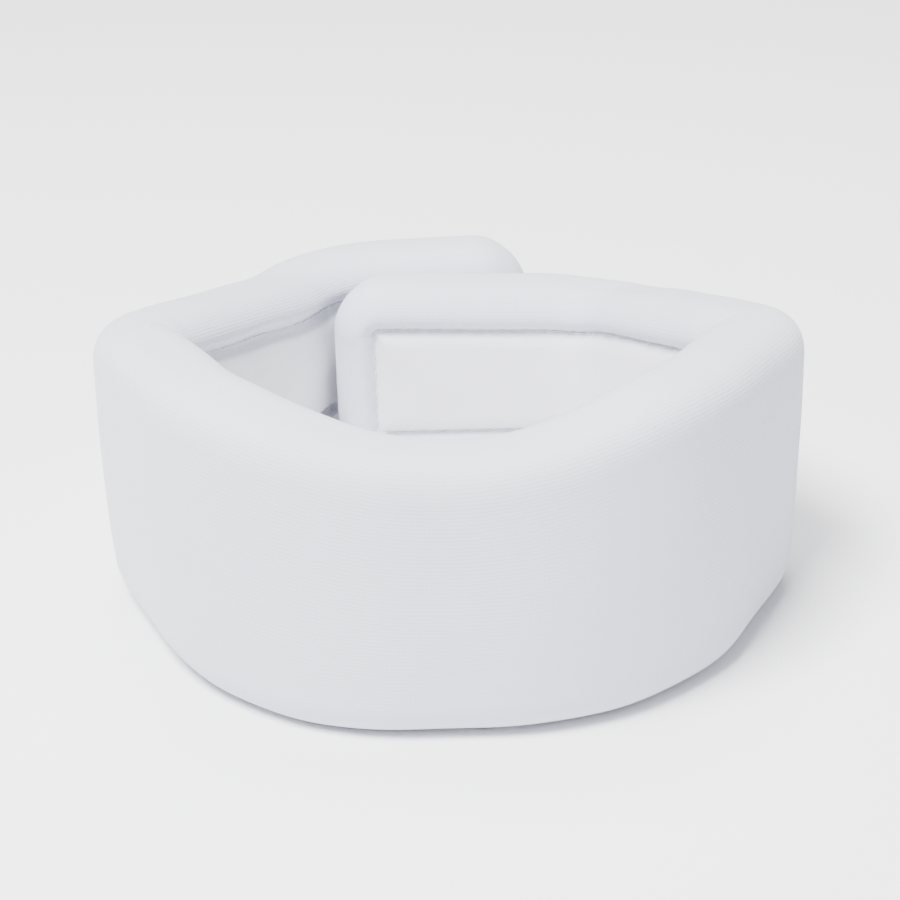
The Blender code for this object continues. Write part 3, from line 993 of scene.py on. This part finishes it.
@dataclass
class Dresser:
    """Sets soft pieces of one stretch in place of the frame's own parts, which it hides."""

    form: BandForm
    frame: dict
    stretch: Stretch
    start: float = field(init=False)
    end: float = field(init=False)
    crossing: float = field(init=False)

    def __post_init__(self) -> None:
        """Finds where the stretch starts and ends: half way between joints, or at a tip."""
        line = self.form.line
        crossings = [line.nearest(tuple(self.joint(each)["pos_m"][:2])) for each in Stretch]
        ends = (0.0, (crossings[0] + crossings[1]) / 2, self.form.front, line.length)
        place = list(Stretch).index(self.stretch)
        self.start, self.end, self.crossing = ends[place], ends[place + 1], crossings[place]

    def joint(self, stretch: Stretch) -> dict:
        """The frame's joint of a stretch."""
        return next(each for each in self.frame["joints"] if each["name"] == stretch.value[0])

    @property
    def name(self) -> str:
        """The stretch's name in lower case."""
        return self.stretch.name.lower()

    def bind(self, piece: bpy.types.Object, slot: str, nodes: list[str]) -> None:
        """Bakes a piece's place into its mesh, and hides the frame's nodes that it stands for.

        Args:
            piece: The piece.
            slot: Not used.
            nodes: The frame's nodes that it replaces.
        """
        heading = float(self.form.line.at(np.array(self.crossing))[1])
        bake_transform(piece)
        if nodes:
            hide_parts(*nodes)

    def nodes(self, kind: str) -> list[str]:
        """The frame's nodes of a kind on the stretch's two bodies."""
        joint = self.joint(self.stretch)
        wanted = {f"{kind}_{body}" for body in (joint["parent"], joint["child"])}
        return sorted(wanted & set(self.frame["nodes"]))


@dataclass
class SoftBand:
    """Cover, lining and foam of one stretch."""

    dresser: Dresser
    knit: float = 0.7 * MM
    foam_inset: float = 1.1 * MM
    foam_step: float = 3.0 * MM
    wales: int = 190

    @property
    def form(self) -> BandForm:
        """The band's form."""
        return self.dresser.form

    def around(self) -> Array:
        """Map distances round the outline, the same along the whole band."""
        ring = self.form.surface(np.array([self.form.front]))[0]
        gaps = np.linalg.norm(np.roll(ring, -1, axis=0) - ring, axis=1)
        around = np.concatenate([[0.0], np.cumsum(gaps)])
        return around / around[-1] * self.wales * KnitCotton.rib

    def skin(self, step: float, inset: float) -> tuple[Patch, Array, Array]:
        """The stretch's skin as one patch, joined over the top and closed at a tip.

        Args:
            step: Distance between rows.
            inset: How far it is drawn in.

        Returns:
            The patch, its rows' distances, and each face's column.
        """
        form = self.form
        s = form.rows(self.dresser.start, self.dresser.end, step, inset)
        points = form.surface(s, inset)
        flat = points.reshape(-1, 3)
        rows, columns = points.shape[:2]
        faces = grid_faces(rows, columns + 1)
        corner_rows, corner_columns = faces // (columns + 1), faces % (columns + 1)
        uv = np.stack([s[corner_rows], self.around()[corner_columns]], axis=-1)
        column = corner_columns % columns
        at_tip = form.from_tip(s[corner_rows]) <= inset + HAIR
        joined = np.where(at_tip & (column >= columns // 2), columns - 1 - column, column)
        index = corner_rows * columns + joined
        swell = form.swell(flat, np.repeat(s, columns))
        swollen = flat + swell[:, None] * Patch(flat, index, uv).point_normals()
        swollen[:, 2] = form.settled(swollen[:, 2])
        return Patch(swollen, index, uv), s, corner_columns[:, 0]

    def panel_faces(self, s: Array, first_column: Array) -> Array:
        """Finds the faces inside the crease: on the neck side, between its lines.

        Args:
            s: The rows' distances.
            first_column: Each face's column.

        Returns:
            True for a face of the lining.
        """
        form = self.form
        levels = 2 * form.roll_levels + form.face_levels
        neck_low = levels + form.roll_levels
        neck_high = neck_low + form.face_levels - 1
        on_face = (first_column >= neck_low) & (first_column < neck_high)
        row = np.repeat(np.arange(len(s) - 1), 2 * levels)
        middle = (s[row] + s[row + 1]) / 2
        return on_face & (form.from_tip(middle) > form.crease_inset)

    def build(self, finishes: Finishes) -> None:
        """Makes the three pieces and hides the frame's parts that they replace.

        Args:
            finishes: The collar's materials.
        """
        patch, s, column = self.skin(self.form.row_step, 0.0)
        panel = self.panel_faces(s, column)
        for kind, chosen, material in (
            ("cover", ~panel, finishes.cover),
            ("lining", panel, finishes.lining),
        ):
            part = Patch(patch.points, patch.faces[chosen], patch.corner_uv[chosen])
            piece = make_object(f"{kind}_knit_{self.dresser.name}", part.shell(self.knit), material)
            self.dresser.bind(piece, f"knit_{kind}", self.dresser.nodes(kind))
        piece = make_object(f"foam_core_{self.dresser.name}", self.foam(), finishes.foam)
        self.dresser.bind(piece, "foam", self.dresser.nodes("foam"))

    def foam(self) -> Patch:
        """The foam as a closed body: its skin, and flat ends where the stretch is divided."""
        patch, s, _ = self.skin(self.foam_step, self.foam_inset)
        columns = 2 * (2 * self.form.roll_levels + self.form.face_levels)
        level = np.arange(columns // 2 - 1)
        ends = []
        for row, turned in ((0, True), (len(s) - 1, False)):
            if self.form.from_tip(s[row]) > self.foam_inset + HAIR:
                near, far = row * columns + level, (row + 1) * columns - 1 - level
                face = np.stack([near, near + 1, far - 1, far], axis=1)
                ends.append(face[:, ::-1] if turned else face)
        end_faces = np.concatenate(ends)
        end_uv = patch.points[end_faces][..., [0, 2]]
        return Patch(
            patch.points,
            np.concatenate([patch.faces, end_faces]),
            np.concatenate([patch.corner_uv, end_uv]),
        )


@dataclass(frozen=True)
class Stitching:
    """Machine stitches in a line: each rises from the fabric and dips back, a low arch."""

    pitch: float
    stitch: float
    thread: float
    crown: float  # threads that a stitch's middle stands off the ground
    dip: float
    ground: float = 0.0
    steps: int = 7

    def lay(self, form: BandForm, s: Array, z: Array, travel: Array, side: int) -> Patch:
        """Stitches spread evenly on a line.

        Args:
            form: The band's form.
            s: The line's distances along the band.
            z: Its heights.
            travel: Its own length up to each of its points.
            side: The side of the band, 1 for the outer one and -1 for the neck's.

        Returns:
            The stitches, as one patch.
        """
        count = int(travel[-1] / self.pitch)
        middles = (np.arange(count) + 0.5) * travel[-1] / count
        share = np.linspace(-0.5, 0.5, self.steps)
        at = np.clip(middles[:, None] + share * self.stitch, 0.0, travel[-1])
        here_s, here_z = np.interp(at, travel, s), np.interp(at, travel, z)
        lift = self.ground + self.thread * (self.crown - self.dip * share**4)
        paths = form.points(here_s, here_z, np.broadcast_to(lift, here_s.shape), side)
        across = np.zeros((count, 3))
        across[:, :2] = form.line.outward(here_s[:, self.steps // 2])
        return tubes(paths, across, self.thread, sides=6, taper=0.5)


@dataclass
class SeamStitches:
    """Machine stitches in the crease of one stretch."""

    dresser: Dresser
    stitching: Stitching = Stitching(3.0 * MM, 2.35 * MM, 0.26 * MM, crown=1.1, dip=18.0)
    steps: int = 900
    end_steps: int = 60

    def crease_paths(self) -> list[tuple[Array, Array]]:
        """Distances and heights along the stretch's crease, in close steps.

        Returns:
            One path round a tip, or one along the top and one along the bottom.
        """
        form, start, end = self.dresser.form, self.dresser.start, self.dresser.end
        inset, length = form.crease_inset, form.line.length
        along = np.linspace(max(start, inset), min(end, length - inset), self.steps)
        top, low = form.top(along) - inset, np.full(self.steps, inset)
        if start <= 0.0:
            corner, rise = along[0], np.linspace(inset, top[0], self.end_steps)
            first, last = (along[::-1], low), (along, top)
        elif end >= length:
            corner, rise = along[-1], np.linspace(top[-1], inset, self.end_steps)
            first, last = (along, top), (along[::-1], low)
        else:
            return [(along, top), (along, low)]
        upright = np.full(self.end_steps - 2, corner), rise[1:-1]
        s, z = (np.concatenate(parts) for parts in zip(first, upright, last))
        return [(s, z)]

    def build(self, finishes: Finishes) -> None:
        """Lays the stitches along the crease and hides the frame's seam parts.

        Args:
            finishes: The collar's materials.
        """
        form, patches = self.dresser.form, []
        for s, z in self.crease_paths():
            gaps = np.linalg.norm(np.diff(form.points(s, z, 0.0, -1), axis=0), axis=1)
            travel = np.concatenate([[0.0], np.cumsum(gaps)])
            patches.append(self.stitching.lay(form, s, z, travel, -1))
        patch = Patch.joined(patches)
        piece = make_object(f"seam_stitches_{self.dresser.name}", patch, finishes.thread)
        kinds = ("seam", "seam_top", "seam_bottom")
        nodes = [node for kind in kinds for node in self.dresser.nodes(kind)]
        self.dresser.bind(piece, "thread", nodes)


@dataclass(frozen=True)
class Loops:
    """Loops that stand every way on a tape, in staggered columns, with both feet in it."""

    pitch: float
    margin: float  # from the tape's edges
    jitter: float  # of each thread's place, as a share of the pitch
    radius: float  # of the bend
    stem: float
    thread: float
    turn: float = math.pi
    arch: float = 1.3  # a loop's height over its stem, as a share of the radius
    stem_steps: float = 2.0  # of a hook
    steps: int = 8
    seed: int = 5

    def profile(self) -> tuple[Array, Array]:
        """How far each step of a thread reaches along the tape, and how far it rises."""
        turn = np.linspace(0.0, self.turn, self.steps)
        rise = self.stem + self.radius * self.arch * np.sin(turn)
        return np.pad(-self.radius * np.cos(turn), 1, mode="edge"), np.pad(rise, 1)

    def ways(self, columns: int, levels: int, random: np.random.Generator) -> Array:
        """The way each thread bends on the tape."""
        return random.uniform(0, math.pi, columns * levels)


class Hooks(Loops):
    """Hooks on stems that bend over in rows, every other row the other way."""

    def profile(self) -> tuple[Array, Array]:
        """How far each step of a thread reaches along the tape, and how far it rises."""
        turn = np.linspace(0.0, self.turn, self.steps)
        stem = self.stem * np.minimum(np.arange(self.steps) / self.stem_steps, 1.0)
        return self.radius * (1 - np.cos(turn)), stem + self.radius * np.sin(turn)

    def ways(self, columns: int, levels: int, random: np.random.Generator) -> Array:
        """The way each thread bends on the tape."""
        return np.tile(np.where(np.arange(levels) % 2, 0.0, math.pi), columns)


class Half(Enum):
    """The two halves of the fastener.

    Each value holds its name, the side of the band it lies on (1 outside, -1 inside), its
    length, and what stands on it.
    """

    HOOK = (
        "hook",
        -1,
        32.0 * MM,
        Hooks(1.7 * MM, 3.4 * MM, 0.05, 0.38 * MM, 0.55 * MM, 0.14 * MM, 1.25 * math.pi),
    )
    LOOP = (
        "loop",
        1,
        42.0 * MM,
        Loops(1.35 * MM, 3.2 * MM, 0.3, 0.45 * MM, 0.35 * MM, 0.10 * MM),
    )


@dataclass
class FastenerHalf:
    """A strip of woven tape with its hooks or its loops, sewn on round its edge."""

    dresser: Dresser
    half: Half
    tip_margin: float = 15.0 * MM
    ground: float = 0.55 * MM
    pillow: float = 0.1 * MM  # how far the tape stands up from its ground
    selvedge: float = 0.12 * MM
    selvedge_at: float = 1.0 * MM
    selvedge_width: float = 0.6 * MM
    corner: float = 3.0 * MM
    corner_steps: int = 7
    grid: tuple[int, int] = (40, 34)
    stitch_margin: float = 2.0 * MM
    stitch_corner: float = 1.5 * MM
    stitch_corner_steps: int = 12
    stitching: Stitching = Stitching(
        2.6 * MM, 2.08 * MM, 0.2 * MM, crown=1.2, dip=16.0, ground=0.7 * MM
    )
    start: float = field(init=False)
    end: float = field(init=False)
    bottom: float = field(init=False)
    top: float = field(init=False)

    def __post_init__(self) -> None:
        """Takes its place from the band's end and the frame's strip."""
        name, side, length, _ = self.half.value
        low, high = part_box(f"{name}_strip")
        self.bottom, self.top = low.z, high.z
        far_start = self.dresser.form.line.length - self.tip_margin - length
        self.start = self.tip_margin if side < 0 else far_start
        self.end = self.start + length

    def points(self, s: Array, z: Array, lift: float | Array) -> Array:
        """Points over the strip's side of the band."""
        return self.dresser.form.points(s, z, lift, self.half.value[1])

    def back(self, s: Array) -> Array:
        """How far the rounded corners stand back at the distances s."""
        near = self.corner - np.minimum(s - self.start, self.end - s)
        return self.corner - np.sqrt(self.corner**2 - np.clip(near, 0.0, self.corner) ** 2)

    def tape(self) -> Patch:
        """The woven ground: a sheet with round corners and a slightly raised selvedge."""
        quarter = np.linspace(0, math.pi / 2, self.corner_steps)
        turn = self.corner * (1 - np.cos(quarter))
        columns, levels = self.grid
        straight = np.linspace(self.start + self.corner, self.end - self.corner, columns)
        s = np.concatenate([self.start + turn, straight[1:-1], self.end - turn[::-1]])
        low, high = self.bottom + self.back(s), self.top - self.back(s)
        z = low[:, None] + (high - low)[:, None] * np.linspace(0.0, 1.0, levels)
        rows = np.repeat(s[:, None], levels, axis=1)
        sides = (rows - self.start, self.end - rows, z - self.bottom, self.top - z)
        edge = np.minimum.reduce(sides)
        ridge = np.exp(-(((edge - self.selvedge_at) / self.selvedge_width) ** 2))
        points = self.points(rows, z, self.ground + self.pillow + self.selvedge * ridge)
        faces = grid_faces(*points.shape[:2])
        faces = faces[:, ::-1] if self.half.value[1] > 0 else faces
        uv = np.stack([rows, z], axis=-1).reshape(-1, 2)
        return Patch(points.reshape(-1, 3), faces, uv[faces]).shell(self.ground)

    def pile(self) -> Patch:
        """The hooks or the loops, on the ground."""
        pile = self.half.value[3]
        random = np.random.default_rng(pile.seed)
        columns = np.arange(self.start + pile.margin, self.end - pile.margin, pile.pitch)
        levels = np.arange(self.bottom + pile.margin, self.top - pile.margin, pile.pitch)
        s, z = (grid.ravel() for grid in np.meshgrid(columns, levels, indexing="ij"))
        z = z + np.repeat(0.5 * pile.pitch * (np.arange(len(columns)) % 2), len(levels))
        s = s + random.normal(size=s.size) * pile.jitter * pile.pitch
        z = z + random.normal(size=s.size) * pile.jitter * pile.pitch
        way = pile.ways(len(columns), len(levels), random)
        reach, rise = pile.profile()
        steps_s = s[:, None] + np.cos(way)[:, None] * reach
        steps_z = z[:, None] + np.sin(way)[:, None] * reach
        paths = self.points(steps_s, steps_z, self.ground + np.broadcast_to(rise, steps_s.shape))
        heading = self.dresser.form.line.at(s)[1]
        across = np.stack(
            [-np.sin(way) * np.cos(heading), -np.sin(way) * np.sin(heading), np.cos(way)],
            axis=-1,
        )
        return tubes(paths, across, pile.thread, sides=4, taper=0.7)

    def stitches(self) -> Patch:
        """Stitches that hold the strip on, in a ring with rounded corners."""
        radius = self.stitch_corner
        inset = self.stitch_margin + radius
        turn = np.linspace(0.0, math.pi / 2, self.stitch_corner_steps)
        s_low, s_high = self.start + inset, self.end - inset
        z_low, z_high = self.bottom + inset, self.top - inset
        centres = ((s_high, z_high), (s_low, z_high), (s_low, z_low), (s_high, z_low))
        ring = []
        for quarter, centre in enumerate(centres):
            angles = turn + quarter * math.pi / 2
            ring.append(np.array(centre) + radius * np.stack([np.cos(angles), np.sin(angles)], 1))
        ring = np.concatenate([*ring, ring[0][:1]])
        travel = np.concatenate([[0.0], np.cumsum(np.linalg.norm(np.diff(ring, axis=0), axis=1))])
        return self.stitching.lay(self.dresser.form, *ring.T, travel, self.half.value[1])

    def build(self, finishes: Finishes) -> None:
        """Makes the tape, its hooks or loops and its stitches, and hides the frame's strip and
        stitching.

        Args:
            finishes: The collar's materials.
        """
        kind, slot = self.half.value[0], f"{self.half.value[0]}_tape"
        tape_finish, pile_finish = {
            Half.HOOK: (finishes.hook_tape, finishes.hooks),
            Half.LOOP: (finishes.loop_tape, finishes.loops),
        }[self.half]
        tape = make_object(slot, self.tape(), tape_finish)
        self.dresser.bind(tape, slot, [f"{kind}_strip"])
        pile = make_object(f"{kind}_field", self.pile(), pile_finish)
        self.dresser.bind(pile, slot, [])
        stitches = make_object(f"{slot}_stitches", self.stitches(), finishes.thread)
        self.dresser.bind(stitches, "thread", [f"{kind}_stitching"])


@dataclass(frozen=True)
class Lamp:
    """A square area light that points at the origin."""

    name: str
    place: tuple[float, float, float]
    size: float
    power: float

    def build(self) -> None:
        """Adds the light to the scene."""
        light = bpy.data.lights.new(self.name, "AREA")
        light.energy, light.size = self.power, self.size
        lamp = bpy.data.objects.new(self.name, light)
        lamp.location = self.place
        lamp.rotation_euler = (-Vector(self.place)).to_track_quat("-Z", "Y").to_euler()
        bpy.context.scene.collection.objects.link(lamp)


@dataclass
class Studio:
    """Pale floor, soft lights and the camera."""

    azimuth: float = math.radians(1.1)
    elevation: float = math.radians(25.0)
    distance: float = 0.600
    roll: float = math.radians(1.7)
    lens: float = 92.0
    sensor: float = 36.0
    centre: tuple[float, float, float] = (0.0002, -0.01675, 0.040)
    aim: tuple[float, float, float] = (0.0002, -0.01675, 0.037)
    floor_reach: float = 6.0
    floor_gap: float = 0.2 * MM
    floor_colour: Colour = (0.96, 0.96, 0.96, 1.0)
    sky_colour: Colour = (0.91, 0.93, 1.0, 1.0)
    sky_strength: float = 0.55
    lamps: tuple[Lamp, ...] = (
        Lamp("key", (-0.42, -0.55, 1.38), 0.6, 83.0),
        Lamp("fill", (1.0, -0.7, 0.7), 1.2, 2.0),
        Lamp("back", (0.1, 0.5, 1.6), 0.8, 26.0),
    )

    def build(self) -> None:
        """Makes them all."""
        self.make_floor()
        self.make_sky()
        for lamp in self.lamps:
            lamp.build()
        self.make_camera()

    def make_floor(self) -> None:
        """A wide floor just under the collar."""
        mesh = bpy.data.meshes.new("floor")
        edge = self.floor_reach
        corners = [(x * edge, y * edge, 0.0) for x, y in ((-1, -1), (1, -1), (1, 1), (-1, 1))]
        mesh.from_pydata(corners, [], [(0, 1, 2, 3)])
        material = bpy.data.materials.new("floor_card")
        material.use_nodes = True
        inputs = material.node_tree.nodes["Principled BSDF"].inputs
        inputs["Base Color"].default_value = self.floor_colour
        inputs["Roughness"].default_value = 0.9
        inputs["Specular IOR Level"].default_value = 0.1
        mesh.materials.append(material)
        floor = bpy.data.objects.new("floor", mesh)
        floor.location.z = -self.floor_gap
        bpy.context.scene.collection.objects.link(floor)

    def make_sky(self) -> None:
        """Even light from all round."""
        world = bpy.data.worlds.new("studio")
        bpy.context.scene.world = world
        world.use_nodes = True
        sky = world.node_tree.nodes["Background"]
        sky.inputs["Color"].default_value = self.sky_colour
        sky.inputs["Strength"].default_value = self.sky_strength

    def make_camera(self) -> None:
        """The camera, looking down at the collar from the front."""
        level = math.cos(self.elevation)
        back = Vector(
            (
                math.sin(self.azimuth) * level,
                -math.cos(self.azimuth) * level,
                math.sin(self.elevation),
            )
        )
        data = bpy.data.cameras.new("camera")
        data.lens, data.sensor_width = self.lens, self.sensor
        camera = bpy.data.objects.new("camera", data)
        place = Vector(self.centre) + back * self.distance
        turn = (Vector(self.aim) - place).to_track_quat("-Z", "Y").to_matrix().to_4x4()
        roll = Matrix.Rotation(-self.roll, 4, "Z")
        camera.matrix_world = Matrix.Translation(place) @ turn @ roll
        bpy.context.scene.collection.objects.link(camera)
        bpy.context.scene.camera = camera


def dress(frame: dict) -> None:
    """Builds every piece of the collar.
    """
    finishes = Finishes()
    form = BandForm(CentreLine())
    for stretch in Stretch:
        dresser = Dresser(form, frame, stretch)
        SoftBand(dresser).build(finishes)
        SeamStitches(dresser).build(finishes)
    for half, stretch in ((Half.HOOK, Stretch.OUTER), (Half.LOOP, Stretch.RIGHT)):
        FastenerHalf(Dresser(form, frame, stretch), half).build(finishes)


def main() -> None:
    """Loads the frame, dresses it, and lights it."""
    logging.basicConfig(level=logging.INFO, format="%(message)s")
    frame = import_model()
    Studio().build()
    dress(frame)


if __name__ == "__main__":
    main()
